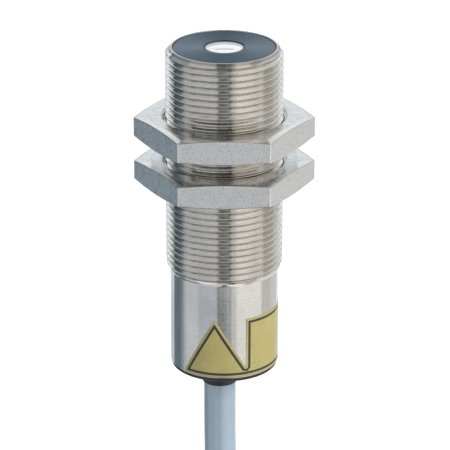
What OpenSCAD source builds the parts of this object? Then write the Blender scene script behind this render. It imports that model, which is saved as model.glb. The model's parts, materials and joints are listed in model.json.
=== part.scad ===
// Laser through-beam sensor in a threaded M18 sleeve, with its nuts, optics, electronics and cable.
// Sizes are in millimetres. +Z is the way the beam leaves.
// Z = 0 is the middle of the thread crest just in front of the front nut.

/* [Thread and sleeve] */
// Outer diameter of the thread
thread_d = 18; // [16:1:24]
// Thread pitch, one turn
pitch = 1; // [0.75:0.25:1.5]
// Sleeve in front of the zero crest
front_reach = 10.5; // [6:0.5:30]
// Thread behind the zero crest
thread_back = 25.3; // [20:0.1:60]
// Sleeve behind the zero crest
sleeve_back = 40.8; // [38:0.1:80]
// How much thinner than the thread the plain rear part is, on the radius
body_step = 0.66; // [0.6:0.02:1]
// Wall between thread root and bore
wall = 0.88; // [0.6:0.02:2]
// Chamfer at the sleeve's front, where the thread starts
start_chamfer = 0.85; // [0.5:0.05:0.95]
// Length of the cone where the thread runs out
runout = 1.2; // [0.6:0.1:3]

/* [Nuts] */
// Width across flats
nut_flats = 24; // [22:1:32]
// Height of each nut
nut_height = 4; // [3:0.5:8]
// Front face of the front nut
front_nut_z = -0.28; // [-10:0.02:5]
// Front face of the rear nut
rear_nut_z = -7.26; // [-20:0.02:-6]
// Angle of the corner chamfer
nut_chamfer = 12; // [8:1:30]
// Face left flat inside the corner chamfer, as a radius
nut_face_r = 11.44; // [11:0.02:15]
// Radial room between nut and thread crest
nut_room = 0.05; // [0.03:0.01:0.1]

/* [Optics] */
// Width of the step in the sleeve's front that carries the plate
ledge = 0.39; // [0.3:0.01:0.45]
// Plate thickness
plate_t = 1.6; // [1:0.1:3]
// How far the plate sits under the rim
plate_recess = 0.05; // [0.02:0.01:1]
// Opening for the lens
window_d = 6.1; // [4:0.1:9]
// Height of the lens's dome
lens_dome = 0.15; // [0.1:0.05:1]
// Distance from the plate's back to the laser diode's base
focus = 14.8; // [12:0.1:20]

/* [Electronics] */
// Board width
board_w = 12.2; // [10:0.2:13]
// Board thickness
board_t = 1; // [0.8:0.1:1.6]
// Length of the end cap's plug inside the sleeve
plug = 4.2; // [3.5:0.1:8]

/* [Cap, gland and cable] */
// Diameter of the end cap's rim
cap_d = 16.4; // [16:0.1:22]
// Visible height of the rim
cap_rim = 0.55; // [0.3:0.05:3]
// Length of the gland cone behind the rim
gland_length = 3.35; // [2:0.05:12]
// Cable diameter
cable_d = 5; // [4:0.1:6]
// Sideways offset of the cable from the sleeve's axis
cable_x = -0.7; // [-1:0.1:1]

/* [Tied cable] */
// Straight length between the hank's round ends
hank_run = 64; // [40:1:100]
// Strands side by side, and layers
hank_strands = 5; // [3:1:7]
hank_layers = 2; // [1:1:3]
// Length of the flying leads
lead_length = 40; // [20:1:80]

/* [Hidden] */
$fn = 72;

// Sleeve
thread_r = thread_d / 2;
root_r = thread_r - 0.6134 * pitch;
body_r = thread_r - body_step;
bore_r = root_r - wall;
rim_r = thread_r - start_chamfer;
crest = pitch / 16;
flank = 0.3542 * pitch;
first_turn = -ceil(thread_back / pitch) - 1;
last_turn = ceil(front_reach / pitch) + 1;

// Optics
seat_r = bore_r + ledge;
plate_r = seat_r - 0.08;
plate_top = front_reach - plate_recess;
plate_back = plate_top - plate_t;
shoulder = plate_back - 0.2;
window_r = window_d / 2;
lens_r = window_r - 0.07;
lens_flange_r = window_r + 1.15;
lens_back = shoulder - 1.2;
slide_r = bore_r - 0.1;
diode_z = plate_back - focus;
diode_r = 2.8;
diode_cap_r = 1.78;
barrel_seal_z = shoulder - 3.2;
groove_r = bore_r - 0.9;
screw_r = 0.8;
screw_hole_r = screw_r + 0.02;
screw_head_r = 1.4;
screw_x = slide_r - 2.4;

// Electronics
holder_t = 3;
holder_back = diode_z - holder_t;
board_front = holder_back - 2.8;
board_back = -sleeve_back + plug + 2.1;
board_length = board_front - board_back;
inner_r = bore_r - 0.3;
can_r = 1.5;
can_x = 3.2;
can_top = sqrt(pow(inner_r - 0.3, 2) - pow(can_x + can_r, 2));
face = board_t / 2;
core_r = 0.55;
core_x = 1.05;
core_y = face + core_r + 0.05;
solder_r = 0.62;
pad_z = board_back + 1.7;
chip_z = board_front - 4.9;
regulator_x = -1.7;
regulator_z = board_front - 10.7;

// Cap and cable
cable_r = cable_d / 2;
cap_back = -sleeve_back - cap_rim;
gland_back = cap_back - gland_length;
jacket_front = board_back - 1.7;
plug_front = -sleeve_back + plug;
cap_fit_r = bore_r - 0.05;
seal_z = -sleeve_back + 2;
seal_back = -sleeve_back + 0.2;

// Cable route below the gland, then the hank
route = [[0, 0, 0], [0, 0, -7.3], [0, 0, -15.3], [-0.8, -0.4, -20.8], [-3.1, -1.6, -25.8],
    [-6.6, -3.4, -30], [-10.5, -5.4, -33.9], [-13.9, -7.2, -37.9], [-16.6, -8.6, -42.3],
    [-18.6, -9.6, -47.3], [-19.3, -10, -52.3]];
sides = 12;
hank_top = gland_back - 67.3;
hank_bottom = hank_top - hank_run;
hank_w = hank_layers * cable_d;
hank_depth = hank_strands * cable_d;
left_run = cable_x + route[10][0] + cable_r;
hank_r = -left_run;
end_x = left_run + hank_w / 2 - cable_r;
end_y = -hank_depth / 2 + cable_r;
cable_end = hank_top - 12.4;
lead_r = 0.6;
tie_t = 1.1;
tie_h = 3.6;

function unit(v) = v / norm(v);
function heading(i) = i == 0 || i == len(route) - 1 ? [0, 0, -1] : unit(route[i + 1] - route[i - 1]);
function ring(i) = let (t = heading(i), u = unit(cross(t, [0, 1, 0])), w = cross(u, t))
    [for (k = [0:sides - 1]) route[i] + cable_r * (cos(360 * k / sides) * u + sin(360 * k / sides) * w)];

// One turn of the 60 degree thread, seen from the side
function turn(k) = [[thread_r, k * pitch - crest], [thread_r, k * pitch + crest],
    [root_r, k * pitch + crest + flank], [root_r, (k + 1) * pitch - crest - flank]];

module turned(points) {
    rotate_extrude() polygon(points);
}

module tube(outer, inner, low, high) {
    translate([0, 0, low]) difference() {
        cylinder(r = outer, h = high - low);
        translate([0, 0, -1]) cylinder(r = inner, h = high - low + 2);
    }
}

module o_ring(middle, thick, z) {
    translate([0, 0, z]) rotate_extrude() translate([middle, 0]) circle(r = thick);
}

module block(x, y, z, w, d, h) {
    translate([x - w / 2, y, z - h / 2]) cube([w, d, h]);
}

module housing() color("#b9b6b0") difference() {
    union() {
        rotate_extrude() intersection() {
            polygon(concat([[0, first_turn * pitch]],
                [for (k = [first_turn:last_turn]) each turn(k)],
                [[0, (last_turn + 1) * pitch - crest - flank]]));
            polygon([[0, -thread_back], [body_r, -thread_back], [thread_r, runout - thread_back],
                [thread_r, front_reach - start_chamfer], [rim_r, front_reach], [0, front_reach]]);
        }
        turned([[0, -sleeve_back], [body_r - 0.12, -sleeve_back], [body_r, 0.12 - sleeve_back],
            [body_r, -thread_back], [0, -thread_back]]);
    }
    translate([0, 0, -sleeve_back - 1]) cylinder(r = bore_r, h = sleeve_back + front_reach + 2);
    translate([0, 0, shoulder]) cylinder(r = seat_r, h = front_reach - shoulder + 1);
}

module nut(top) {
    slope = tan(nut_chamfer);
    far = nut_flats / sqrt(3) + 1;
    bore = thread_r + nut_room;
    sink = 0.6;
    translate([0, 0, top - nut_height]) difference() {
        intersection() {
            cylinder(r = nut_flats / sqrt(3), h = nut_height, $fn = 6);
            turned([[0, 0], [nut_face_r, 0], [far, (far - nut_face_r) * slope],
                [far, nut_height - (far - nut_face_r) * slope], [nut_face_r, nut_height],
                [0, nut_height]]);
        }
        translate([0, 0, -1]) cylinder(r = bore, h = nut_height + 2);
        turned([[0, -1], [bore + sink + 1, -1], [bore, sink], [0, sink]]);
        turned([[0, nut_height + 1], [bore + sink + 1, nut_height + 1], [bore, nut_height - sink],
            [0, nut_height - sink]]);
    }
}

module front_nut() color("#c4c3bf") nut(front_nut_z);

module rear_nut() color("#c4c3bf") nut(rear_nut_z);

module front_plate() color("#55697a") turned([[window_r, plate_back], [window_r + 0.15, plate_back],
    [window_r + 0.15, plate_back + 0.45], [window_r + 0.95, plate_back + 0.45],
    [window_r + 0.95, plate_back], [plate_r, plate_back], [plate_r, plate_top - 0.12],
    [plate_r - 0.12, plate_top], [window_r + 0.15, plate_top], [window_r, plate_top - 0.15]]);

module front_gasket() color("#1c1e20") tube(plate_r, plate_r - 0.9, shoulder, plate_back);

module lens() color("#dfe8ec") {
    dome_r = (lens_r * lens_r + lens_dome * lens_dome) / (2 * lens_dome);
    translate([0, 0, lens_back]) cylinder(r = lens_flange_r, h = shoulder - lens_back);
    intersection() {
        translate([0, 0, shoulder]) cylinder(r = lens_r, h = plate_top - shoulder);
        translate([0, 0, plate_top - dome_r]) sphere(r = dome_r);
    }
}

module lens_seal() color("#232527") o_ring(window_r + 0.55, 0.3, plate_back + 0.13);

module optics_barrel() color("#26282a") difference() {
    turned([[1.2, diode_z + 4.1], [diode_cap_r + 0.07, diode_z + 4.1],
        [diode_cap_r + 0.07, diode_z + 1.2], [diode_r + 0.05, diode_z + 1.2],
        [diode_r + 0.05, diode_z], [slide_r, diode_z], [slide_r, diode_z + 2.4],
        [slide_r - 1.4, diode_z + 3], [slide_r - 1.4, barrel_seal_z - 2.6],
        [slide_r, barrel_seal_z - 2], [slide_r, barrel_seal_z - 0.6],
        [groove_r, barrel_seal_z - 0.6], [groove_r, barrel_seal_z + 0.6],
        [slide_r, barrel_seal_z + 0.6], [slide_r, shoulder], [lens_flange_r + 0.05, shoulder],
        [lens_flange_r + 0.05, lens_back], [lens_flange_r - 0.4, lens_back]]);
    for (s = [-1, 1]) translate([s * screw_x, 0, diode_z - 1]) cylinder(r = screw_hole_r, h = 3.6);
}

module barrel_seal() color("#1c1e20") o_ring(bore_r - 0.44, 0.42, barrel_seal_z);

module aperture_disc() color("#3a3c3e") tube(diode_cap_r, 0.8, diode_z + 3.8, diode_z + 4.1);

module laser_diode() color("#c9a765") difference() {
    union() {
        translate([0, 0, diode_z]) cylinder(r = diode_r, h = 1.2);
        translate([0, 0, diode_z + 1.2]) cylinder(r = diode_cap_r, h = 2.4);
    }
    translate([0, 0, diode_z + 1.2]) cylinder(r = diode_cap_r - 0.25, h = 2.1);
    translate([0, 0, diode_z + 3]) cylinder(r = 0.8, h = 1);
}

module diode_window() color("#dfe8ec") translate([0, 0, diode_z + 3.05]) cylinder(r = 1.3, h = 0.25);

module diode_leads() color("#d9c27a") for (p = [[1, 0], [-1, 0], [0, 1]])
    translate([p[0], p[1], board_front - 1.6]) cylinder(r = 0.22, h = diode_z - board_front + 1.6);

module diode_holder() color("#2c2f31") difference() {
    tube(slide_r - 0.1, 1.6, holder_back, diode_z);
    for (s = [-1, 1]) translate([s * screw_x, 0, holder_back - 1]) {
        cylinder(r = screw_hole_r, h = holder_t + 2);
        cylinder(r = screw_head_r + 0.05, h = 2.1);
    }
}

module holder_screws() color("#a7a9ab") for (s = [-1, 1])
    translate([s * screw_x, 0, holder_back]) difference() {
        union() {
            cylinder(r = screw_head_r, h = 1.1);
            cylinder(r = screw_r, h = holder_t + 2.4);
        }
        translate([0, 0, -0.5]) cylinder(r = 0.7, h = 1.1, $fn = 6);
    }

module circuit_board() color("#2f6b46") difference() {
    translate([-board_w / 2, -face, board_back]) cube([board_w, board_t, board_length]);
    for (x = [-1, 1]) translate([x - 0.35, -1, board_front - 1.8]) cube([0.7, 2, 3]);
    for (x = [-1, 1]) translate([x * (board_w / 2 - 1.2), 0, board_back + 1.2])
        rotate([90, 0, 0]) cylinder(r = 0.5, h = 4, center = true);
}

module driver_chip() color("#1f2122") block(-1.6, face + 0.15, chip_z, 3.9, 1.5, 4.9);

module voltage_regulator() color("#232527") block(regulator_x, face + 0.15, regulator_z, 6.2, 1.6, 3.4);

module chip_legs() color("#b4b7b9") {
    for (k = [0:3], s = [-1, 1]) {
        z = chip_z + (k - 1.5) * 1.27;
        block(-1.6 + s * 2.25, face + 0.75, z, 0.6, 0.2, 0.42);
        block(-1.6 + s * 2.65, face, z, 0.2, 0.95, 0.42);
    }
    for (k = [-1:1]) block(regulator_x + k * 2.3, face, regulator_z - 2.3, 0.7, 0.35, 1.2);
    block(regulator_x, face, regulator_z + 2.3, 3, 0.35, 1.2);
}

module electrolytic_capacitor() color("#9fa6aa") {
    block(can_x, face, board_back + 5.1, 2 * can_r + 0.3, 0.6, 2 * can_r + 0.3);
    translate([can_x, face + 0.6, board_back + 5.1]) rotate([-90, 0, 0])
        cylinder(r = can_r, h = can_top - face - 0.6);
}

module ceramic_capacitors() color("#b59a74") {
    block(4.2, face, board_front - 3, 1.25, 0.9, 2);
    block(4.2, face, board_front - 5.8, 1.25, 0.9, 2);
    block(-4.6, -face - 0.9, board_front - 9, 1.25, 0.9, 2);
    block(4.4, -face - 0.9, board_front - 12, 1.25, 0.9, 2);
}

module resistors() color("#2a2b2d") {
    for (k = [0:2]) block(4.3, face, board_front - 8 - 1.5 * k, 1.6, 0.45, 0.8);
    for (k = [0:3]) block(-4.4, -face - 0.45, board_front - 11.6 - 1.5 * k, 1.6, 0.45, 0.8);
}

module choke() color("#4a4441") translate([0.3, -face, board_front - 5]) rotate([90, 0, 0])
    turned([[0, 0], [2.6, 0], [2.6, 0.5], [1.9, 0.8], [1.9, 2.2], [2.6, 2.5], [2.6, 3], [0, 3]]);

module suppressor_diode() color("#242628") {
    block(1.4, -face - 2.2, board_back + 6.1, 3.6, 2, 4.4);
    block(1.4, -face - 0.2, board_back + 6.1, 2.2, 0.2, 5.6);
}

module capsule(x, y, z, r, long) {
    translate([x, y, z - long / 2]) {
        cylinder(r = r, h = long);
        sphere(r = r);
        translate([0, 0, long]) sphere(r = r);
    }
}

module solder_joints() color("#c9ccce") {
    difference() {
        union() {
            capsule(cable_x - core_x, core_y - 0.15, pad_z, solder_r, 1);
            capsule(cable_x + core_x, core_y - 0.15, pad_z, solder_r, 1);
            capsule(cable_x, 0.15 - core_y, pad_z, solder_r, 1);
            capsule(0, face + 0.3, board_front - 1.2, 0.5, 0.6);
        }
        block(0, -face, board_front - board_length / 2, board_w, board_t, board_length + 2);
    }
    for (x = [-1, 1], s = [-1, 1]) translate([x, s * face, board_front - 1.2]) difference() {
        sphere(r = 0.45);
        translate([-1, -s - 1, -1]) cube([2, 2, 2]);
    }
}

module insulating_sleeve() color("#c7b46a")
    tube(bore_r - 0.05, inner_r, plug_front + 0.2, holder_back - 0.2);

module core(x, y) {
    translate([x, y, jacket_front]) cylinder(r = core_r, h = pad_z - 0.9 - jacket_front);
}

module core_brown() color("#6b4226") core(cable_x - core_x, core_y);

module core_blue() color("#2f62a8") core(cable_x + core_x, core_y);

module core_black() color("#202123") core(cable_x, -core_y);

module rear_cap() color("#23282b") difference() {
    union() {
        turned([[0, cap_back], [cap_d / 2 - 0.15, cap_back], [cap_d / 2, cap_back + 0.15],
            [cap_d / 2, -sleeve_back], [cap_fit_r, -sleeve_back], [cap_fit_r, seal_z - 0.6],
            [groove_r, seal_z - 0.6], [groove_r, seal_z + 0.6],
            [cap_fit_r, seal_z + 0.6], [cap_fit_r, plug_front - 0.3],
            [cap_fit_r - 0.3, plug_front], [0, plug_front]]);
        translate([cable_x, 0, 0]) turned([[0, gland_back], [cable_r + 0.12, gland_back],
            [cable_r + 0.27, gland_back + 0.15], [cable_r + 0.42, cap_back - 0.6],
            [cable_r + 1, cap_back], [0, cap_back]]);
    }
    translate([cable_x, 0, gland_back - 1]) cylinder(r = cable_r + 0.02, h = plug_front - gland_back + 2);
    translate([cable_x, 0, seal_back]) cylinder(r = cable_r + 2.15, h = plug_front - seal_back + 1);
}

module cap_seal() color("#1c1e20") o_ring(bore_r - 0.44, 0.42, seal_z);

module cable_seal() color("#303335") translate([cable_x, 0, 0])
    tube(cable_r + 2.1, cable_r + 0.02, seal_back, seal_back + 2);

module crimp_ring() color("#b98d4a") translate([cable_x, 0, 0]) difference() {
    turned([[0, seal_back + 2.1], [cable_r + 0.5, seal_back + 2.1], [cable_r + 0.7, seal_back + 2.3],
        [cable_r + 0.5, seal_back + 2.7], [cable_r + 0.7, seal_back + 3.1],
        [cable_r + 0.5, seal_back + 3.3], [0, seal_back + 3.3]]);
    translate([0, 0, seal_back]) cylinder(r = cable_r + 0.02, h = 5);
}

module cable_root() color("#97a6b2") translate([cable_x, 0, gland_back])
    cylinder(r = cable_r, h = jacket_front - gland_back);

module cable() color("#97a6b2") translate([cable_x, 0, gland_back]) {
    n = len(route);
    polyhedron(points = [for (i = [0:n - 1]) each ring(i)],
        faces = concat([[for (k = [sides - 1:-1:0]) k]],
            [for (i = [0:n - 2], k = [0:sides - 1]) [i * sides + k, i * sides + (k + 1) % sides,
                (i + 1) * sides + (k + 1) % sides, (i + 1) * sides + k]],
            [[for (k = [0:sides - 1]) (n - 1) * sides + k]]));
}

// The cut through one run of the hank, grown outward by g
module run_section(g) {
    w = hank_w / 2 + g;
    d = hank_depth / 2 + g;
    c = 1.4 + g / 2;
    polygon([[w, -d + c], [w, d - c], [w - c, d], [c - w, d], [-w, d - c], [-w, c - d],
        [c - w, -d], [w - c, -d]]);
}

module cable_hank() color("#97a6b2") difference() {
    union() {
        for (s = [-1, 1]) translate([s * hank_r, 0, hank_bottom]) linear_extrude(hank_run) run_section(0);
        translate([0, 0, hank_top]) rotate([90, 0, 0]) rotate_extrude(angle = 180)
            translate([hank_r, 0]) run_section(0);
        translate([0, 0, hank_bottom]) rotate([-90, 0, 0]) rotate_extrude(angle = 180)
            translate([hank_r, 0]) run_section(0);
        translate([left_run - cable_r, end_y, hank_top]) cylinder(r = cable_r, h = 15);
    }
    translate([end_x - cable_r, -hank_depth / 2 - 1, cable_end - lead_length - 6])
        cube([cable_d + 1, cable_d + 1, lead_length + 6]);
}

module tie(x, z) {
    translate([x, 0, z]) {
        difference() {
            linear_extrude(tie_h) run_section(0.1 + tie_t);
            translate([0, 0, -1]) linear_extrude(tie_h + 2) run_section(0.1);
        }
        translate([-3, -hank_depth / 2 - 4.8, -1]) cube([5.4, 4.2, tie_h + 2]);
    }
}

module tie_left() color("#e6e4de") tie(-hank_r, cable_end + 3.6);

module tie_right() color("#e6e4de") tie(hank_r, hank_bottom + hank_run / 2);

module lead(x, y, tip) {
    translate([end_x + x, end_y + y, cable_end - lead_length + tip])
        cylinder(r = lead_r, h = lead_length - tip);
}

module lead_brown() color("#6b4226") lead(-0.9, 0.5, 6);

module lead_blue() color("#2f62a8") lead(0.9, 0.5, 5);

module lead_black() color("#202123") lead(0, -0.9, 7);

module lead_tips() color("#c9ccce") for (p = [[-0.9, 0.5, 6], [0.9, 0.5, 5], [0, -0.9, 7]])
    translate([end_x + p[0], end_y + p[1], cable_end - lead_length + p[2] - 5])
        cylinder(r = lead_r - 0.22, h = 5);

housing();
front_nut();
rear_nut();
front_plate();
front_gasket();
lens();
lens_seal();
optics_barrel();
barrel_seal();
aperture_disc();
laser_diode();
diode_window();
diode_leads();
diode_holder();
holder_screws();
circuit_board();
driver_chip();
voltage_regulator();
chip_legs();
electrolytic_capacitor();
ceramic_capacitors();
resistors();
choke();
suppressor_diode();
solder_joints();
insulating_sleeve();
core_brown();
core_blue();
core_black();
rear_cap();
cap_seal();
cable_seal();
crimp_ring();
cable_root();
cable();
cable_hank();
tie_left();
tie_right();
lead_brown();
lead_blue();
lead_black();
lead_tips();
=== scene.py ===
"""Looks and studio for the laser through-beam sensor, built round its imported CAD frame.

Z is the beam's way. Z = 0 is the thread crest just in front of the front nut.
"""

import json
from math import atan2, ceil, cos, floor, pi, radians, sin, sqrt, tan

import bmesh
import bpy
from mathutils import Matrix, Vector


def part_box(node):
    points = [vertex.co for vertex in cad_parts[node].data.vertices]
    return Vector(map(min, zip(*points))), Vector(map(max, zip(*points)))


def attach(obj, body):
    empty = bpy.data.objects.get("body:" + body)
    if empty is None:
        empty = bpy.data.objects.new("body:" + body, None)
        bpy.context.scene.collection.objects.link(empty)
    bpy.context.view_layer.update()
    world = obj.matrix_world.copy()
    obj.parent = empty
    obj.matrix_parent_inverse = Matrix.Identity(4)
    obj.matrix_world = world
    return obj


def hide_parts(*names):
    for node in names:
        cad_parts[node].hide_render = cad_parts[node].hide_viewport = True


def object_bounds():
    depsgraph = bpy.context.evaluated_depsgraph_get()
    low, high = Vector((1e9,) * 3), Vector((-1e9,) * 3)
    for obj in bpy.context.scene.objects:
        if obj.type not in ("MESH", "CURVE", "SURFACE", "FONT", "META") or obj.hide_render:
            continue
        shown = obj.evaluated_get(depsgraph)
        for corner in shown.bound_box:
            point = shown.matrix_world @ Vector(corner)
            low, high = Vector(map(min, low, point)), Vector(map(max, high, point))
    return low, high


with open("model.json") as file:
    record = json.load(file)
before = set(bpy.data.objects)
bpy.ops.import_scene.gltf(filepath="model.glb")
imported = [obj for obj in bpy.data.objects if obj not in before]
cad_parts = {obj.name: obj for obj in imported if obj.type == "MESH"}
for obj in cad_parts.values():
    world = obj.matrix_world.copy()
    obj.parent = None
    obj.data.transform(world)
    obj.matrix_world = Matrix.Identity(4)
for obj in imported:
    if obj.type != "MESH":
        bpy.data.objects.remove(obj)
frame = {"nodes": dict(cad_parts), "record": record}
cad_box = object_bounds()

MM = 0.001
MERGE = 0.0005 * MM
# Width of the narrow face beside a rounded edge, which keeps the shading of the wide face flat
HOLD = 0.08 * MM
# Edges whose faces turn by this much or more are hard
SHARP = radians(32)
SENSOR = "sensor"
# The camera's side, as an angle round the beam
FRONT = radians(-90)

# Sleeve, from the frame and the thread's standard profile
sleeve_low, sleeve_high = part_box("housing")
PITCH = 1.0 * MM
THREAD_R = 9.0 * MM
RIM_Z = sleeve_high.z
SLEEVE_BACK = sleeve_low.z
ROOT_R = THREAD_R - 0.6134 * PITCH
BODY_R = THREAD_R - 0.66 * MM
BORE_R = ROOT_R - 0.88 * MM
SEAT_R = BORE_R + 0.39 * MM
SEAT_Z = RIM_Z - 1.85 * MM
RIM_R = THREAD_R - 0.85 * MM
RIM_EDGE = 0.05 * MM
THREAD_BACK = -25.3 * MM
RUNOUT = 1.2 * MM

LENS_R = 2.98 * MM

CABLE_R = 2.5 * MM

# The cable's way, in millimetres. It leaves the gland and goes aside to the hank.
ROUTE = [(-0.7, 0, -44.7), (-0.7, 0, -52), (-0.7, 0, -60), (-1.5, -0.4, -65.5), (-3.8, -1.6, -70.5),
         (-7.3, -3.4, -74.7), (-11.2, -5.4, -78.6), (-14.6, -7.2, -82.6), (-17.3, -8.6, -87),
         (-19.3, -9.6, -92), (-20, -10, -97)]
# The hank: the middle of its upper bends, its straight runs, its foremost turn, how many turns it is
# deep, how far its outer and inner layer lie from its middle, and the step from turn to turn
HANK_TOP = -112.0
HANK_RUN = 64.0
HANK_FRONT = -10
HANK_TURNS = 4
OUTER_X = 20
INNER_X = 15
TURN_STEP = 5
# The height where the jacket ends
CABLE_END = -124.4


# Camera

def add_camera():
    """Looks down on the front end, as far off and as long a lens as the photograph's perspective says."""
    distance, above, down = 438.7 * MM, radians(18.4), radians(21.913)
    focal_px, axis_px, frame_px = 2907.0, 224.32, 450
    data = bpy.data.cameras.new("camera")
    data.sensor_width = 36
    data.lens = data.sensor_width * focal_px / frame_px
    data.shift_x = 0.5 - axis_px / frame_px
    data.clip_start, data.clip_end = 0.01, 20
    camera = bpy.data.objects.new("camera", data)
    bpy.context.scene.collection.objects.link(camera)
    turn = Matrix.Rotation(pi / 2 - down, 4, "X")
    place = Vector((0, -distance * cos(above), distance * sin(above) + RIM_Z))
    camera.matrix_world = Matrix.Translation(place) @ turn
    bpy.context.scene.camera = camera


add_camera()


# Cable

def rounded(points, steps):
    """A smooth curve through the points."""
    way = [Vector(p) for p in points]
    way = [2 * way[0] - way[1], *way, 2 * way[-1] - way[-2]]
    curve = []
    for before, here, there, after in zip(way, way[1:], way[2:], way[3:]):
        for k in range(steps):
            t = k / steps
            curve.append(0.5 * (2 * here + (there - before) * t
                                + (2 * before - 5 * here + 4 * there - after) * t ** 2
                                + (3 * here - before - 3 * there + after) * t ** 3))
    return curve


def eased(t):
    """Makes an even way from 0 to 1 start and end gently."""
    return t * t * (3 - 2 * t)


def run(x, y, low, high, shift=0.0, steps=20):
    """A straight run of the hank, which may move sideways in its last part."""
    straight = 0.4
    points = []
    for k in range(steps):
        t = k / steps
        late = max(0.0, (t - straight) / (1 - straight))
        points.append(Vector((x, y + shift * eased(late), low + (high - low) * t)))
    return points


def bend(middle, z, radius, y, start, steps=24):
    """Half a turn round one end of the hank."""
    angles = [start + pi * k / steps for k in range(steps)]
    return [Vector((middle + radius * cos(a), y, z + radius * sin(a))) for a in angles]


def cable_path():
    """Straight out of the gland, aside into the hank, round its outer layer and back through its inner."""
    top, bottom = HANK_TOP, HANK_TOP - HANK_RUN
    y = HANK_FRONT
    path = rounded(ROUTE, steps=8) + run(-OUTER_X, y, ROUTE[-1][2], top, steps=6)
    for _ in range(HANK_TURNS):
        path += run(-OUTER_X, y, top, bottom) + bend(0, bottom, OUTER_X, y, pi)
        path += run(OUTER_X, y, bottom, top, TURN_STEP)
        y += TURN_STEP
        path += bend(0, top, OUTER_X, y, 0)
    inward = (OUTER_X - INNER_X) / 2
    path += run(-OUTER_X, y, top, bottom) + bend(-inward, bottom, OUTER_X - inward, y, pi)
    for _ in range(HANK_TURNS):
        path += run(INNER_X, y, bottom, top, -TURN_STEP)
        y -= TURN_STEP
        path += bend(0, top, INNER_X, y, 0)
        if y > HANK_FRONT:
            path += run(-INNER_X, y, top, bottom) + bend(0, bottom, INNER_X, y, pi)
    path += run(-INNER_X, y, top, CABLE_END, steps=6) + [Vector((-INNER_X, y, CABLE_END))]
    return path


def add_tubes(name, lines, radius, slot, *nodes):
    """Round tubes along lines of points in millimetres, in place of CAD nodes."""
    data = bpy.data.curves.new(name, "CURVE")
    data.dimensions = "3D"
    data.bevel_depth = 1
    data.bevel_resolution = 8
    data.use_fill_caps = True
    for points in lines:
        line = data.splines.new("POLY")
        line.points.add(len(points) - 1)
        for spot, place in zip(line.points, points):
            spot.co = (*(place * MM), 1)
            spot.radius = radius
        line.use_smooth = True
    made = bpy.data.objects.new(name, data)
    bpy.context.scene.collection.objects.link(made)
    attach(made, SENSOR)
    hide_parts(*nodes)
    return made


cable = add_tubes("cable_jacket", [cable_path()], CABLE_R, "cable_jacket", "cable", "cable_hank")


# Materials

# Most values of a noise texture lie between these two
NOISE = (0.3, 0.7)


def linear(colour):
    """An 8-bit screen colour as the linear one that shaders take."""
    return tuple(((c / 255 + 0.055) / 1.055) ** 2.4 if c > 10 else c / 255 / 12.92 for c in colour)


def look(name, colour, metallic=0.0, roughness=0.5, **inputs):
    """A Principled material. Extra inputs are socket names with _ for spaces."""
    made = bpy.data.materials.new(name)
    made.use_nodes = True
    shader = made.node_tree.nodes["Principled BSDF"]
    shader.inputs["Base Color"].default_value = (*linear(colour), 1)
    shader.inputs["Metallic"].default_value = metallic
    shader.inputs["Roughness"].default_value = roughness
    for key, value in inputs.items():
        shader.inputs[key.replace("_", " ")].default_value = value
    return made


def maths(tree, operation, *values):
    """The result of a Math node. Each value is a number or the output of another node."""
    node = tree.nodes.new("ShaderNodeMath")
    node.operation = operation
    for socket, value in zip(node.inputs, values):
        if isinstance(value, (int, float)):
            socket.default_value = value
        else:
            tree.links.new(value, socket)
    return node.outputs[0]


def ramp(tree, value, start, end, low, high, smooth=True):
    """Takes a value from one range to another and holds it there."""
    node = tree.nodes.new("ShaderNodeMapRange")
    node.interpolation_type = "SMOOTHSTEP" if smooth else "LINEAR"
    for socket, number in zip(node.inputs[1:5], (start, end, low, high)):
        socket.default_value = number
    tree.links.new(value, node.inputs[0])
    return node.outputs[0]


def window(tree, value, low, high, soft):
    """One between two values, and zero outside them."""
    return maths(tree, "MULTIPLY", ramp(tree, value, low - soft, low + soft, 0, 1),
                 ramp(tree, value, high - soft, high + soft, 1, 0))


def split(tree, vector):
    """The three parts of a vector."""
    node = tree.nodes.new("ShaderNodeSeparateXYZ")
    tree.links.new(vector, node.inputs[0])
    return node.outputs


def radius_of(tree, x, y):
    """How far a point lies from the middle."""
    squares = maths(tree, "ADD", maths(tree, "MULTIPLY", x, x), maths(tree, "MULTIPLY", y, y))
    return maths(tree, "SQRT", squares)


def place_on(tree, turned):
    """The object's own coordinates or, for marks that run round it, its radius and height alone."""
    spot = tree.nodes.new("ShaderNodeTexCoord").outputs["Object"]
    if not turned:
        return spot
    x, y, z = split(tree, spot)
    both = tree.nodes.new("ShaderNodeCombineXYZ")
    tree.links.new(radius_of(tree, x, y), both.inputs[0])
    tree.links.new(z, both.inputs[2])
    return both.outputs[0]


def shade(made, factor):
    """Multiplies what gives the material its colour by a grey value."""
    tree = made.node_tree
    base = tree.nodes["Principled BSDF"].inputs["Base Color"]
    mix = tree.nodes.new("ShaderNodeMix")
    mix.data_type, mix.blend_type = "RGBA", "MULTIPLY"
    mix.inputs["Factor"].default_value = 1
    if base.is_linked:
        tree.links.new(base.links[0].from_socket, mix.inputs[6])
    else:
        mix.inputs[6].default_value = base.default_value
    tree.links.new(factor, mix.inputs[7])
    tree.links.new(mix.outputs[2], base)


def noise_on(tree, per_mm, detail, turned):
    """Noise of so many features a millimetre each way."""
    scale = tree.nodes.new("ShaderNodeVectorMath")
    scale.operation = "MULTIPLY"
    scale.inputs[1].default_value = [n / MM for n in per_mm]
    tree.links.new(place_on(tree, turned), scale.inputs[0])
    noise = tree.nodes.new("ShaderNodeTexNoise")
    noise.inputs["Scale"].default_value = 1
    noise.inputs["Detail"].default_value = detail
    tree.links.new(scale.outputs[0], noise.inputs["Vector"])
    return noise.outputs["Fac"]


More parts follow.
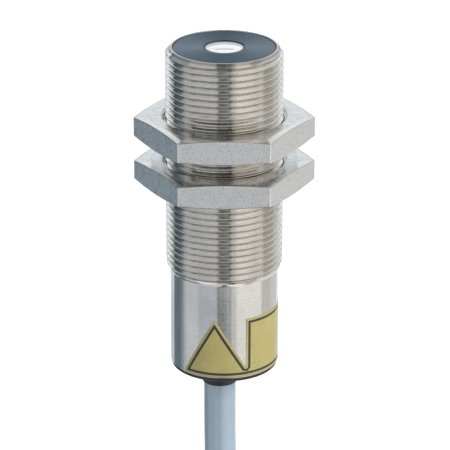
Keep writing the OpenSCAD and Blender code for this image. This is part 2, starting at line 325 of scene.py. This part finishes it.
def roughen(made, value, spread):
    """Moves the material's roughness up and down with a noise."""
    tree = made.node_tree
    level = tree.nodes["Principled BSDF"].inputs["Roughness"]
    before = level.links[0].from_socket if level.is_linked else level.default_value
    shift = ramp(tree, value, *NOISE, -spread, spread, smooth=False)
    tree.links.new(maths(tree, "ADD", shift, before), level)


def emboss(made, value, height):
    """Adds a relief of so many millimetres to the one that the material has."""
    tree = made.node_tree
    normal = tree.nodes["Principled BSDF"].inputs["Normal"]
    relief = tree.nodes.new("ShaderNodeBump")
    relief.inputs["Strength"].default_value = 1
    relief.inputs["Distance"].default_value = height * MM
    tree.links.new(value, relief.inputs["Height"])
    if normal.is_linked:
        tree.links.new(normal.links[0].from_socket, relief.inputs["Normal"])
    tree.links.new(relief.outputs[0], normal)


def vary(made, per_mm, tint=0.0, rough=0.0, bump=0.0, detail=3, turned=False):
    """One layer of noise in colour, roughness and relief, each by as much as it says."""
    tree = made.node_tree
    value = noise_on(tree, per_mm, detail, turned)
    if tint:
        shade(made, ramp(tree, value, *NOISE, 1 - tint, 1 + tint, smooth=False))
    if rough:
        roughen(made, value, rough)
    if bump:
        emboss(made, value, bump)
    return made


def paint_groove_shade(made, darkest):
    """Paints shade into the thread's grooves, darker the nearer a point lies to the axis, and nothing
    behind the thread.
    """
    tree = made.node_tree
    shaded_h, fade = 0.17 * MM, 0.5 * MM
    radius, _, z = split(tree, place_on(tree, True))
    # Painted shade: darkest at the root of each groove, gone a little above it
    depth = ramp(tree, radius, ROOT_R, ROOT_R + shaded_h, 1 - darkest, 0)
    threaded = ramp(tree, z, THREAD_BACK, THREAD_BACK + fade, 0, 1)
    shade(made, maths(tree, "SUBTRACT", 1, maths(tree, "MULTIPLY", depth, threaded)))
    return made


def turned_metal(made):
    """Lets the metal's grain follow the circles round the axis."""
    tree = made.node_tree
    tangent = tree.nodes.new("ShaderNodeTangent")
    tangent.direction_type, tangent.axis = "RADIAL", "Z"
    tree.links.new(tangent.outputs[0], tree.nodes["Principled BSDF"].inputs["Tangent"])
    return made


def sleeve_steel():
    """Bright turned steel: fine marks that run round it, a faint grain, broad stains and painted shade in
    the grooves.
    """
    made = turned_metal(look("sleeve_steel", (236, 233, 228), 1.0, 0.12, Anisotropic=0.5,
                             Anisotropic_Rotation=0.25))
    vary(made, (0.4, 0.4, 12), tint=0.04, rough=0.03, bump=0.0004, turned=True)
    vary(made, (2.5, 2.5, 2.5), tint=0.05, rough=0.02, detail=2)
    vary(made, (0.35, 0.35, 0.2), tint=0.04, rough=0.03, detail=2)
    return paint_groove_shade(made, darkest=0.64)


def nut_steel(name, colour, streaks, roughness, turn, speckle):
    """Milled steel with streaks, speckles and broad stains, its grain turned by a part of a whole turn."""
    made = turned_metal(look(name, colour, 1.0, roughness, Anisotropic=0.4, Anisotropic_Rotation=turn))
    vary(made, streaks, tint=0.08, rough=0.06, bump=0.001)
    vary(made, (3.5, 3.5, 3.5), tint=speckle, rough=0.04, bump=0.0005)
    return vary(made, (0.5, 0.5, 0.5), tint=0.03, rough=0.02, detail=2)


def plate_grey():
    """The blue-grey front plate, with a fine grain and broad faint patches."""
    made = turned_metal(look("plate_grey", (80, 103, 118), 1.0, 0.36, Anisotropic=0.9,
                             Anisotropic_Rotation=0.25))
    vary(made, (6, 6, 6), tint=0.15, rough=0.04, bump=0.0004)
    return vary(made, (0.25, 0.25, 0.25), tint=0.12, rough=0.04, detail=2)


def lens_white():
    """A lens over a white diffuser, with painted shade round its edge, mostly on its front side, where the
    window's edge shades it. Painted reflections of a greyer crescent at its far side and of a grey streak a
    little in front of its middle lie on it.
    """
    made = look("lens_glass", (250, 252, 254), 0.0, 0.04, IOR=1.7)
    vary(made, (0.6, 0.6, 0.6), tint=0.015, rough=0.01, detail=2)
    # Where the painted shade at the edge and the painted reflections of a crescent and a streak lie, and
    # how grey they are
    shadow_y, shadow_start, shadow_end, shadow_grey = 0.3 * MM, LENS_R - 0.24 * MM, LENS_R - 0.1 * MM, 0.12
    reflection_y, reflection_start, reflection_end, reflection_grey = -2 * MM, 3.15 * MM, 3.35 * MM, 0.57
    streak_x, streak_low, streak_high, streak_depth = 1.4 * MM, -1.3 * MM, -0.75 * MM, 0.4
    tree = made.node_tree
    x, y, _ = split(tree, place_on(tree, False))

    def reach(centre):
        """Distance from a point on the Y axis."""
        return radius_of(tree, x, maths(tree, "SUBTRACT", y, centre))

    # Painted shade round the lens's edge, mostly on its front side, where the window's edge shades it
    shade(made, ramp(tree, reach(shadow_y), shadow_start, shadow_end, 1, shadow_grey))
    # Painted reflection: a greyer crescent at the lens's far side
    shade(made, ramp(tree, reach(reflection_y), reflection_start, reflection_end, 1, reflection_grey))
    # Painted reflection: a grey streak across the lens, a little in front of its middle
    reflected_streak = maths(tree, "MULTIPLY", window(tree, y, streak_low, streak_high, soft=0.06 * MM),
                 window(tree, x, -streak_x, streak_x, soft=0.4 * MM))
    shade(made, maths(tree, "SUBTRACT", 1, maths(tree, "MULTIPLY", reflected_streak, streak_depth)))
    return made


def sticker_film():
    """Dull yellow film under a thin clear coat."""
    made = look("sticker_film", (177, 165, 103), 0.0, 0.35, Coat_Weight=0.25, Coat_Roughness=0.2)
    vary(made, (2.5, 2.5, 2.5), tint=0.06, rough=0.05, detail=2)
    return vary(made, (0.4, 0.4, 0.4), tint=0.05, rough=0.05, detail=2)


def moulded(name, colour, roughness=0.45, relief=0.002):
    """Plastic or rubber with a fine moulded grain."""
    made = look(name, colour, 0.0, roughness)
    vary(made, (14, 14, 14), rough=0.05, bump=relief)
    return vary(made, (0.6, 0.6, 0.6), tint=0.08, rough=0.05, detail=2)


def metal(name, colour, roughness=0.3, streaks=(3, 3, 12)):
    """Plated or drawn metal with fine marks and slight stains."""
    made = look(name, colour, 1.0, roughness)
    vary(made, streaks, tint=0.05, rough=0.06, bump=0.0006)
    return vary(made, (0.8, 0.8, 0.8), tint=0.06, rough=0.05, detail=2)


def jacket():
    """Smooth grey-blue jacket under a glossy skin."""
    made = look("cable_jacket", (154, 174, 190), 0.0, 0.3, Coat_Weight=1, Coat_Roughness=0.16,
                Coat_IOR=1.9)
    vary(made, (3, 3, 1.5), tint=0.03, rough=0.05, bump=0.001)
    return vary(made, (0.12, 0.12, 0.12), tint=0.04, rough=0.04, detail=2)


MATERIALS = {
    "sleeve_steel": sleeve_steel(),
    "nut_steel": nut_steel("nut_steel", (229, 228, 227), (1, 1, 10), 0.2, turn=0.25, speckle=0.05),
    "nut_flats": nut_steel("nut_flats", (253, 253, 253), (4, 4, 1.5), 0.33, turn=0, speckle=0.2),
    "plate_grey": plate_grey(),
    "seal_rubber": moulded("seal_rubber", (30, 32, 34), 0.6),
    "lens_glass": lens_white(),
    "black_plastic": moulded("black_plastic", (34, 36, 38)),
    "dark_steel": metal("dark_steel", (96, 98, 100), 0.4),
    "gilt_metal": metal("gilt_metal", (214, 180, 108)),
    "screw_steel": metal("screw_steel", (178, 180, 182)),
    "board_green": moulded("board_green", (38, 96, 62), 0.35, relief=0.004),
    "chip_black": moulded("chip_black", (32, 34, 36), 0.55),
    "tin": metal("tin", (196, 199, 202), 0.35),
    "can_aluminium": metal("can_aluminium", (182, 188, 192), 0.3, streaks=(10, 0.5, 10)),
    "ceramic_tan": moulded("ceramic_tan", (181, 154, 116), 0.5),
    "ferrite": moulded("ferrite", (72, 66, 63), 0.6),
    "foil_amber": moulded("foil_amber", (199, 180, 106), 0.25),
    "core_brown": moulded("core_brown", (98, 58, 34), 0.4),
    "core_blue": moulded("core_blue", (42, 92, 164), 0.4),
    "core_black": moulded("core_black", (30, 31, 33), 0.4),
    "cap_plastic": moulded("cap_plastic", (33, 41, 44), 0.36),
    "brass": metal("brass", (184, 144, 82)),
    "cable_jacket": jacket(),
    "tie_nylon": moulded("tie_nylon", (226, 225, 218), 0.35),
    "sticker_film": sticker_film(),
    "sticker_ink": moulded("sticker_ink", (50, 54, 52), 0.45, relief=0.001),
}
cable.data.materials.append(MATERIALS["cable_jacket"])


# Mesh building

def ring(radius, z, columns):
    """A circle of points whose last one closes it."""
    angles = [2 * pi * k / columns for k in range(columns + 1)]
    return [Vector((radius * cos(a), radius * sin(a), z)) for a in angles]


def add_rings(bm, rings, close=False):
    """Joins neighbouring rings of points with faces."""
    rows = [[bm.verts.new(point) for point in line] for line in rings]
    if close:
        rows.append(rows[0])
    for low, high in zip(rows, rows[1:]):
        for corners in zip(low, low[1:], high[1:], high):
            bm.faces.new(corners)


def piece(name, bm, slots, replaces, body=SENSOR):
    """One clean mesh object with its hard edges marked, in place of a CAD node where it names one."""
    bmesh.ops.remove_doubles(bm, verts=bm.verts, dist=MERGE)
    bmesh.ops.dissolve_degenerate(bm, edges=bm.edges, dist=MERGE)
    bmesh.ops.recalc_face_normals(bm, faces=bm.faces)
    for face in bm.faces:
        face.smooth = True
    for edge in bm.edges:
        edge.smooth = not edge.is_manifold or edge.calc_face_angle() < SHARP
    mesh = bpy.data.meshes.new(name)
    bm.to_mesh(mesh)
    bm.free()
    for slot in slots:
        mesh.materials.append(MATERIALS[slot])
    made = bpy.data.objects.new(name, mesh)
    bpy.context.scene.collection.objects.link(made)
    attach(made, body)
    if replaces:
        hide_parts(replaces)
    return made


# Sleeve

def thread_profile():
    """One pitch of the 60 degree thread, crest and root rounded, as heights and radii."""
    crest, root = 0.108 * PITCH, 0.144 * PITCH
    ridge = [(crest * sin(a), THREAD_R - crest * (1 - cos(a))) for a in map(radians, (-60, -20, 20, 60))]
    groove = [(PITCH / 2 + root * sin(a), ROOT_R + root * (1 - cos(a))) for a in map(radians, (-60, 0, 60))]

    def flank(start, end):
        """Two points that keep the shading of a flank flat."""
        return [tuple(a + (b - a) * t for a, b in zip(start, end)) for t in (0.1, 0.9)]

    next_ridge = (ridge[0][0] + PITCH, ridge[0][1])
    return ridge + flank(ridge[-1], groove[0]) + groove + flank(groove[-1], next_ridge)


def cut_to_length(z, radius):
    """Keeps a point of the thread under the front chamfer and the run-out cone."""
    chamfer = RIM_R + RIM_Z - z
    fading = BODY_R + (z - THREAD_BACK) * (THREAD_R - BODY_R) / RUNOUT
    if z >= RIM_Z - RIM_EDGE:
        return RIM_R + RIM_EDGE, RIM_Z - RIM_EDGE
    if z <= THREAD_BACK:
        return BODY_R, THREAD_BACK
    return min(radius, chamfer, fading), z


def thread_rings(columns):
    """Rows of points that climb one pitch a turn, as a right-hand thread does."""
    rings = []
    for turn in range(floor(THREAD_BACK / PITCH) - 2, ceil(RIM_Z / PITCH) + 2):
        for height, radius in thread_profile():
            line = []
            for k in range(columns + 1):
                angle = 2 * pi * k / columns
                climb = PITCH * (turn + (angle - FRONT) / (2 * pi)) + height
                r, z = cut_to_length(climb, radius)
                line.append(Vector((r * cos(angle), r * sin(angle), z)))
            rings.append(line)
    return rings


def add_sleeve():
    """The thread, then the plain part, bore, seat and rim as one turned line back to the front."""
    columns = 180
    edge, break_z, break_r = 0.12 * MM, 0.02 * MM, 0.01 * MM
    bm = bmesh.new()
    add_rings(bm, thread_rings(columns))
    turned = [(BODY_R, THREAD_BACK), (BODY_R, THREAD_BACK - HOLD), (BODY_R, SLEEVE_BACK + edge + HOLD),
              (BODY_R, SLEEVE_BACK + edge), (BODY_R - edge, SLEEVE_BACK), (BORE_R, SLEEVE_BACK),
              (BORE_R, SEAT_Z), (SEAT_R, SEAT_Z), (SEAT_R, RIM_Z - break_z), (SEAT_R + break_r, RIM_Z),
              (RIM_R - break_r, RIM_Z), (RIM_R + RIM_EDGE, RIM_Z - RIM_EDGE)]
    add_rings(bm, [ring(r, z, columns) for r, z in turned])
    return piece("threaded_sleeve", bm, ["sleeve_steel"], "housing")


# Nuts

NUT_BORE_R = 9.05 * MM
# Where the flat face ends and its chamfer starts
NUT_FACE_R = 11.44 * MM


def hexagon(angle, flats_r, corner):
    """Distance from the axis to a hexagon with rounded corners, one of which lies along +X."""
    side = radians(60)
    off = abs((angle + side / 2) % side - side / 2)
    middle = (flats_r - corner) / cos(side / 2)
    if off < atan2(corner * sin(side / 2), middle + corner * cos(side / 2)):
        return middle * cos(off) + sqrt(corner ** 2 - (middle * sin(off)) ** 2)
    return flats_r / cos(side / 2 - off)


def nut_columns():
    """Angles round a nut, close together at its corners."""
    steps = (0, 0.16, 0.34, 0.55, 1.2, 2.4, 4.5, 7.5, 11, 15, 20, 25)
    half = [*steps, 30]
    sector = half + [60 - a for a in reversed(steps[1:])]
    return [radians(60 * k + a) for k in range(6) for a in sector] + [2 * pi]


def nut_side(flats_r, half, inward, drop):
    """A ring on the hexagon, moved in from it, and down from where the chamfer meets it."""
    slope, corner = tan(radians(12)), 0.25 * MM
    points = []
    for a in nut_columns():
        r = hexagon(a, flats_r, corner) - inward
        z = half - (max(r, NUT_FACE_R) - NUT_FACE_R) * slope - drop
        points.append(Vector((r * cos(a), r * sin(a), z)))
    return points


def nut_half(flats_r, half):
    """Rings from the bore over the upper face to the flats, with Z = 0 in the middle of the nut."""
    sink, flat_hold, edge = 0.6 * MM, 0.3 * MM, 0.09 * MM
    face = [(NUT_BORE_R, half - sink), (NUT_BORE_R + sink, half), (NUT_FACE_R - flat_hold, half),
            (NUT_FACE_R, half)]
    flats = [(edge, 0), (0.3 * edge, 0.25 * edge), (0, edge), (0, edge + HOLD)]
    circles = [[Vector((r * cos(a), r * sin(a), z)) for a in nut_columns()] for r, z in face]
    return circles + [nut_side(flats_r, half, inward, drop) for inward, drop in flats]


def add_nut(node):
    """A hexagon nut with chamfered faces and rounded corners, its bore just clear of the thread."""
    low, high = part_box(node)
    half = (high.z - low.z) / 2
    middle = Vector((0, 0, low.z + half))
    upper = nut_half(high.y, half)
    lower = [[Vector((p.x, p.y, -p.z)) for p in row] for row in reversed(upper)]
    bm = bmesh.new()
    add_rings(bm, [[p + middle for p in row] for row in upper + lower], close=True)
    for face in bm.faces:
        face.normal_update()
        upright = abs(face.normal.z) < 0.1
        if upright and face.calc_center_median().xy.length > NUT_FACE_R:
            face.material_index = 1
    return piece(node + "_milled", bm, ["nut_steel", "nut_flats"], node, node)


add_sleeve()
for nut in ("front_nut", "rear_nut"):
    add_nut(nut)


# Cable ties

def rounded_rectangle(half_x, half_y, radius, steps=8):
    """Points of a rounded rectangle with their outward directions, the last one closing it."""
    loop = []
    for quarter, (sx, sy) in enumerate(((1, 1), (-1, 1), (-1, -1), (1, -1))):
        middle = Vector((sx * (half_x - radius), sy * (half_y - radius), 0))
        for k in range(steps + 1):
            angle = (quarter + k / steps) * pi / 2
            out = Vector((cos(angle), sin(angle), 0))
            loop.append((middle + radius * out, out))
    return [*loop, loop[0]]


def add_block(bm, low, high, edge, steps=3):
    """A block with rounded edges between two corners."""
    middle, size = (low + high) / 2, high - low
    shape = Matrix.Translation(middle) @ Matrix.Diagonal((*size, 1))
    verts = bmesh.ops.create_cube(bm, size=1, matrix=shape)["verts"]
    edges = dict.fromkeys(line for vert in verts for line in vert.link_edges)
    bmesh.ops.bevel(bm, geom=[*verts, *edges], offset=edge, offset_type="OFFSET", segments=steps,
                    profile=0.5, affect="EDGES")


def sink_face(bm, place, frame_w, depth):
    """Sinks the largest face that looks to the front at a place, inside a frame."""

    def is_there(face):
        return face.normal.y < -0.99 and abs(face.calc_center_median().y - place) < 2 * MERGE

    face = max(filter(is_there, bm.faces), key=lambda f: f.calc_area())
    bmesh.ops.inset_individual(bm, faces=[face], thickness=frame_w)
    sunk = bmesh.ops.extrude_discrete_faces(bm, faces=[face])["faces"][0]
    bmesh.ops.translate(bm, verts=sunk.verts, vec=(0, depth, 0))


def add_tie(node):
    """A nylon strap drawn tight round one side of the hank, with its head in front and its tail cut off."""
    low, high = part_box(node)
    thick, width, edge, slack = 1.1 * MM, 3.6 * MM, 0.25 * MM, 0.2 * MM
    head_x, head_y, head_edge, pocket = 2.7 * MM, 3.5 * MM, 0.5 * MM, 0.8 * MM
    tail_y, tail_in, tail_edge = 0.7 * MM, 1.5 * MM, 0.15 * MM
    middle = (low + high) / 2
    half_x, half_y = (high.x - low.x - thick) / 2, high.y - thick / 2
    way = rounded_rectangle(half_x, half_y, CABLE_R + (thick + slack) / 2)
    section = rounded_rectangle(thick / 2, width / 2, edge, steps=3)
    centre = Vector((middle.x, 0, middle.z))
    rows = [[centre + point + out * spot.x + Vector((0, 0, spot.y)) for point, out in way]
            for spot, _ in section[:-1]]
    bm = bmesh.new()
    add_rings(bm, rows, close=True)
    head_low = Vector((middle.x - head_x, low.y + tail_y, low.z))
    head_high = Vector((middle.x + head_x, low.y + tail_y + head_y, high.z))
    add_block(bm, head_low, head_high, head_edge)
    bm.normal_update()
    sink_face(bm, head_low.y, pocket, pocket)
    tail_low = Vector((middle.x - thick / 2, low.y, middle.z - width / 2))
    tail_high = Vector((middle.x + thick / 2, head_low.y + tail_in, middle.z + width / 2))
    add_block(bm, tail_low, tail_high, tail_edge, steps=1)
    return piece(node + "_strap", bm, ["tie_nylon"], node)


ties = [add_tie("tie_left"), add_tie("tie_right")]


# Bared cores at the cable's end

def core_path(x, y, length, aside, start=0.0, steps=24):
    """A core's way from a part of its length on. It starts inside the jacket's end and drifts aside."""
    rooted, wave, waves = 1, 0.15, 7
    points = []
    for k in range(steps + 1):
        t = start + (1 - start) * k / steps
        drift = eased(t)
        points.append(Vector((-INNER_X + x + aside[0] * drift + wave * sin(waves * t + x),
                              HANK_FRONT + y + aside[1] * drift,
                              CABLE_END + rooted - length * t)))
    return points


def add_cores():
    """Three cores of unlike length, stripped and tinned at their tips."""
    core_r, strands_r = 0.6 * MM, 0.38 * MM
    # In millimetres, as the cable's way is: what is bared and how far it reaches into its core, then
    # each core's place in the cable, its length and its drift aside
    bared, lap = 6, 1
    cores = {"lead_brown": (-0.9, 0.5, 40, (-0.5, 0.3)), "lead_blue": (0.9, 0.5, 41, (0.8, -0.2)),
             "lead_black": (0, -0.9, 39, (0.1, -0.8))}
    made, strands = [], []
    for node, (x, y, length, aside) in cores.items():
        way = core_path(x, y, length, aside)
        strands.append(core_path(x, y, length, aside, 1 - bared / length))
        covered = [p for p in way if p.z > way[-1].z + bared - lap]
        slot = node.replace("lead", "core")
        core = add_tubes(node + "_core", [covered], core_r, slot, node)
        core.data.materials.append(MATERIALS[slot])
        made.append(core)
    tips = add_tubes("core_strands", strands, strands_r, "tin", "lead_tips")
    tips.data.materials.append(MATERIALS["tin"])
    return [*made, tips]


add_cores()


# Sticker

# The flat film's ends, in millimetres round the sleeve from its front. Heights go up from the sleeve's
# back end.
FILM_LEFT = -7.0
FILM_END = 20.0


def keyed_loop(outline, depth, corner, steps=6):
    """The clockwise outline moved inward, with rounded corners, the same number of points at any depth."""
    points = []
    for before, here, after in zip([outline[-1], *outline], outline, [*outline[1:], outline[0]]):
        into, out = (here - before).normalized(), (after - here).normalized()
        a, b = Vector((into.y, -into.x)), Vector((out.y, -out.x))
        if into.cross(out) > 0:
            points += [here + a.lerp(b, k / steps).normalized() * depth for k in range(steps + 1)]
            continue
        tip = here + (a + b) * depth / (1 + a.dot(b))
        bow = corner * sqrt((1 - into.dot(out)) / (1 + into.dot(out)))
        start, end = tip - into * bow, tip + out * bow
        for k in range(steps + 1):
            t = k / steps
            points.append(start * (1 - t) ** 2 + tip * 2 * t * (1 - t) + end * t ** 2)
    return points


def sticker_loops():
    """The film's edge and the two sides of its keyline, all clockwise."""
    peak, valley, lean = -1.54, 3.43, 0.02
    foot, strip, top = 0.22, 1.79, 9.95
    panel = top - 0.1
    outline = [Vector(p) for p in ((FILM_LEFT, foot), (peak, top), (valley, strip), (valley + lean, panel),
                                   (FILM_END, panel), (FILM_END, foot))]
    depths, corners = (0, 0.36, 0.76), (0.35, 0.12, 0.05)
    return [keyed_loop(outline, depth, corner) for depth, corner in zip(depths, corners)]


def wrap_film(bm, thick):
    """Cuts the flat film into narrow strips and bends it round the sleeve."""
    strip_w = 0.4
    for k in range(ceil((FILM_END - FILM_LEFT) / strip_w)):
        cut = Vector((FILM_LEFT + strip_w * k, 0, 0))
        bmesh.ops.bisect_plane(bm, geom=[*bm.verts, *bm.edges, *bm.faces], plane_co=cut, plane_no=(1, 0, 0))
    radius = BODY_R + thick
    for vert in bm.verts:
        angle = FRONT + vert.co.x * MM / BODY_R
        vert.co = (radius * cos(angle), radius * sin(angle), SLEEVE_BACK + vert.co.y * MM)


def add_sticker():
    """A blank die-cut film on the sleeve's plain part, a peak and a panel on one strip, with a keyline."""
    film, ink, merge, thick = 0, 1, 0.001, 0.05 * MM
    bm = bmesh.new()
    rows = [[bm.verts.new((p.x, p.y, 0)) for p in loop] for loop in sticker_loops()]
    for outer, inner, finish in zip(rows, rows[1:], (film, ink)):
        for corners in zip(outer, [*outer[1:], outer[0]], [*inner[1:], inner[0]], inner):
            bm.faces.new(corners).material_index = finish
    bm.faces.new(rows[-1])
    bmesh.ops.remove_doubles(bm, verts=bm.verts, dist=merge)
    bmesh.ops.triangulate(bm, faces=bm.faces)
    wrap_film(bm, thick)
    made = piece("blank_sticker", bm, ["sticker_film", "sticker_ink"], None)
    shell = made.modifiers.new("thickness", "SOLIDIFY")
    shell.thickness, shell.offset = thick, -1
    return made


add_sticker()


# Finishes of the CAD pieces that show as they are

def dress_nodes():
    """Gives each CAD node the material of its slot in the record."""
    for entry in frame["record"]["subparts"]:
        for spot in frame["nodes"][entry["node"]].material_slots:
            spot.material = MATERIALS[entry["material_slot"]]


dress_nodes()


# Studio

WHITE = (1, 1, 1)
BACKDROP = (0.84, 0.90, 0.95)

# The colours round the object, each from its azimuth on. An azimuth is in degrees, from the camera's
# side to the right.
AROUND = [
    (-141, (0.13, 0.18, 0.22)),
    (-109, (0.25, 0.30, 0.34)),
    (-100, (0.42, 0.46, 0.50)),
    (-91, (0.54, 0.57, 0.61)),
    (-58, (0.44, 0.48, 0.53)),
    (-13, (0.25, 0.27, 0.28)),
    (2, (0.31, 0.33, 0.34)),
    (14, (0.6, 0.6, 0.6)),
    (26, (0.81, 0.81, 0.80)),
    (88, (0.64, 0.65, 0.64)),
    (150, BACKDROP),
]

# The colours further down
BELOW = [
    (-150, (0.16, 0.21, 0.25)),
    (-100, (0.66, 0.66, 0.67)),
    (-13, (0.15, 0.16, 0.16)),
    (2, (0.22, 0.23, 0.22)),
    (14, (0.7, 0.69, 0.67)),
    (26, (1.0, 0.99, 0.97)),
    (90, (0.54, 0.52, 0.50)),
    (112, (0.8, 0.8, 0.82)),
]

# The colours over it, each from its x of the direction on
OVERHEAD_LEFT = (0.28, 0.29, 0.3)
OVERHEAD = [
    (-0.66, (0.50, 0.50, 0.51)),
    (-0.2, (0.36, 0.36, 0.37)),
    (-0.165, (0.15, 0.155, 0.165)),
    (0.04, (0.22, 0.22, 0.225)),
    (0.17, (0.42, 0.41, 0.39)),
    (0.25, (0.72, 0.70, 0.67)),
    (0.54, (0.42, 0.40, 0.38)),
]

# Smaller softboxes and flags, by azimuth and by the height of the direction
PATCHES = [
    ((-60, -15), (-0.27, 0.2), (0.9, 0.92, 0.94)),
    ((-15, 8), (-0.24, 0.2), (0.58, 0.58, 0.58)),
    ((15, 60), (-0.27, 0.2), WHITE),
    ((-75, -16), (0.22, 0.8), (0.09, 0.09, 0.09)),
    ((-16, 22), (0.22, 0.8), (0.03, 0.03, 0.03)),
    ((22, 75), (0.25, 0.75), (0.5, 0.43, 0.38)),
    ((-11, 11), (-0.377, -0.34), WHITE),
    ((-124, -98), (-0.392, -0.1), (0.13, 0.17, 0.2)),
    ((-181, -135), (-0.392, -0.3), (0.7, 0.77, 0.84)),
    ((-181, -143), (-0.48, -0.392), (0.5, 0.54, 0.55)),
    ((-15, 0), (-0.48, -0.392), (0.055, 0.07, 0.08)),
    ((0, 6), (-0.48, -0.392), (0.15, 0.175, 0.19)),
    ((6, 14), (-0.48, -0.392), (0.34, 0.37, 0.39)),
    ((-150, -90), (-0.26, 0.2), (0.07, 0.09, 0.11)),
    ((-145, -100), (0.38, 0.75), (0.3, 0.33, 0.36)),
    ((87, 118), (-0.392, 0.1), (0.46, 0.44, 0.41)),
]

# More of them behind it, alike on both sides
BEHIND = [
    ((125, 181), (-0.285, 0.12), (0.58, 0.62, 0.66)),
    ((172, 181), (-0.285, 0.12), (0.86, 0.88, 0.9)),
    ((160, 181), (0.42, 0.62), WHITE),
    ((150, 181), (0.296, 0.337), WHITE),
    ((150, 181), (0.352, 0.366), (0.1, 0.12, 0.14)),
    ((150, 181), (0.212, 0.225), (0.4, 0.44, 0.46)),
]

# Heights of the direction over which the room goes into what is below it and above it
LOW_EDGE = (-0.54, -0.49)
HIGH_EDGE = (0.62, 0.8)

# Brightness of the darker side, the left, to matt surfaces
DARK_SIDE = 0.38


def blend_colours(tree, factor, below, above):
    """Goes from one colour to another. Each is three numbers or the output of another node."""
    node = tree.nodes.new("ShaderNodeMix")
    node.data_type = "RGBA"
    tree.links.new(factor, node.inputs["Factor"])
    for socket, value in ((node.inputs[6], below), (node.inputs[7], above)):
        if isinstance(value, tuple):
            socket.default_value = (*value, 1)
        else:
            tree.links.new(value, socket)
    return node.outputs[2]


def banded(tree, value, first, bands, soft):
    """One colour after the other along a value, each edge as soft as said."""
    colour = first
    for edge, following in bands:
        colour = blend_colours(tree, ramp(tree, value, edge - soft, edge + soft, 0, 1), colour, following)
    return colour


def mirrored_room(tree, x, z, azimuth):
    """What polished surfaces show: softboxes and flags round the object, below it and over it."""
    room = banded(tree, azimuth, BACKDROP, AROUND, soft=3)
    below = banded(tree, azimuth, BACKDROP, BELOW, soft=1.5)
    above = banded(tree, x, OVERHEAD_LEFT, OVERHEAD, soft=0.03)
    room = blend_colours(tree, ramp(tree, z, *LOW_EDGE, 1, 0), room, below)
    room = blend_colours(tree, ramp(tree, z, *HIGH_EDGE, 0, 1), room, above)
    for direction, zones in ((azimuth, PATCHES), (maths(tree, "ABSOLUTE", azimuth), BEHIND)):
        for around, height, colour in zones:
            inside = maths(tree, "MULTIPLY", window(tree, direction, *around, soft=2),
                           window(tree, z, *height, soft=0.01))
            room = blend_colours(tree, inside, room, colour)
    return room


def add_world():
    """White to the camera, brighter on the right to matt surfaces, softboxes and flags to polished ones."""
    world = bpy.data.worlds.new("studio")
    bpy.context.scene.world = world
    world.use_nodes = True
    tree = world.node_tree
    x, y, z = split(tree, tree.nodes.new("ShaderNodeTexCoord").outputs["Generated"])
    azimuth = maths(tree, "MULTIPLY", maths(tree, "ARCTAN2", x, maths(tree, "MULTIPLY", y, -1)), 180 / pi)
    path = tree.nodes.new("ShaderNodeLightPath").outputs
    side = ramp(tree, x, -1, 1, DARK_SIDE, 1.0, smooth=False)
    room = blend_colours(tree, path["Is Diffuse Ray"], mirrored_room(tree, x, z, azimuth), side)
    seen = blend_colours(tree, path["Is Camera Ray"], room, WHITE)
    tree.links.new(seen, tree.nodes["Background"].inputs["Color"])


def floor_pale():
    """A matt surface that glows a little to the camera and is clear from below."""
    made = look("floor_pale", (235, 235, 236), 0.0, 0.9)
    glow = 0.45
    tree = made.node_tree
    seen = maths(tree, "MULTIPLY", tree.nodes.new("ShaderNodeLightPath").outputs["Is Camera Ray"], glow)
    shader = tree.nodes["Principled BSDF"]
    shader.inputs["Emission Color"].default_value = (*WHITE, 1)
    tree.links.new(seen, shader.inputs["Emission Strength"])
    one_sided = tree.nodes.new("ShaderNodeMixShader")
    tree.links.new(tree.nodes.new("ShaderNodeNewGeometry").outputs["Backfacing"], one_sided.inputs[0])
    tree.links.new(shader.outputs[0], one_sided.inputs[1])
    tree.links.new(tree.nodes.new("ShaderNodeBsdfTransparent").outputs[0], one_sided.inputs[2])
    tree.links.new(one_sided.outputs[0], tree.nodes["Material Output"].inputs["Surface"])
    return made


def add_floor():
    """A pale floor just under the tied cable. Metal shows the studio in its place."""
    half_w, cells, gap = 4, 8, 0.1 * MM
    bm = bmesh.new()
    bmesh.ops.create_grid(bm, x_segments=cells, y_segments=cells, size=half_w)
    mesh = bpy.data.meshes.new("floor")
    bm.to_mesh(mesh)
    bm.free()
    mesh.materials.append(floor_pale())
    floor_piece = bpy.data.objects.new("floor", mesh)
    floor_piece.location.z = cad_box[0].z - gap
    floor_piece.visible_glossy = False
    bpy.context.scene.collection.objects.link(floor_piece)


def add_key_lamp():
    """A round lamp to the right and above. Polished surfaces don't show it."""
    place, target, across, watts = Vector((0.8, -0.5, 0.6)), Vector((0, 0, -0.02)), 0.5, 6.5
    data = bpy.data.lights.new("key", "AREA")
    data.shape, data.size, data.energy = "DISK", across, watts
    lamp = bpy.data.objects.new("key", data)
    lamp.location = place
    lamp.rotation_euler = (place - target).to_track_quat("Z", "Y").to_euler()
    lamp.visible_glossy = False
    bpy.context.scene.collection.objects.link(lamp)


add_world()
add_floor()
add_key_lamp()
bpy.context.scene.view_settings.view_transform = "Standard"
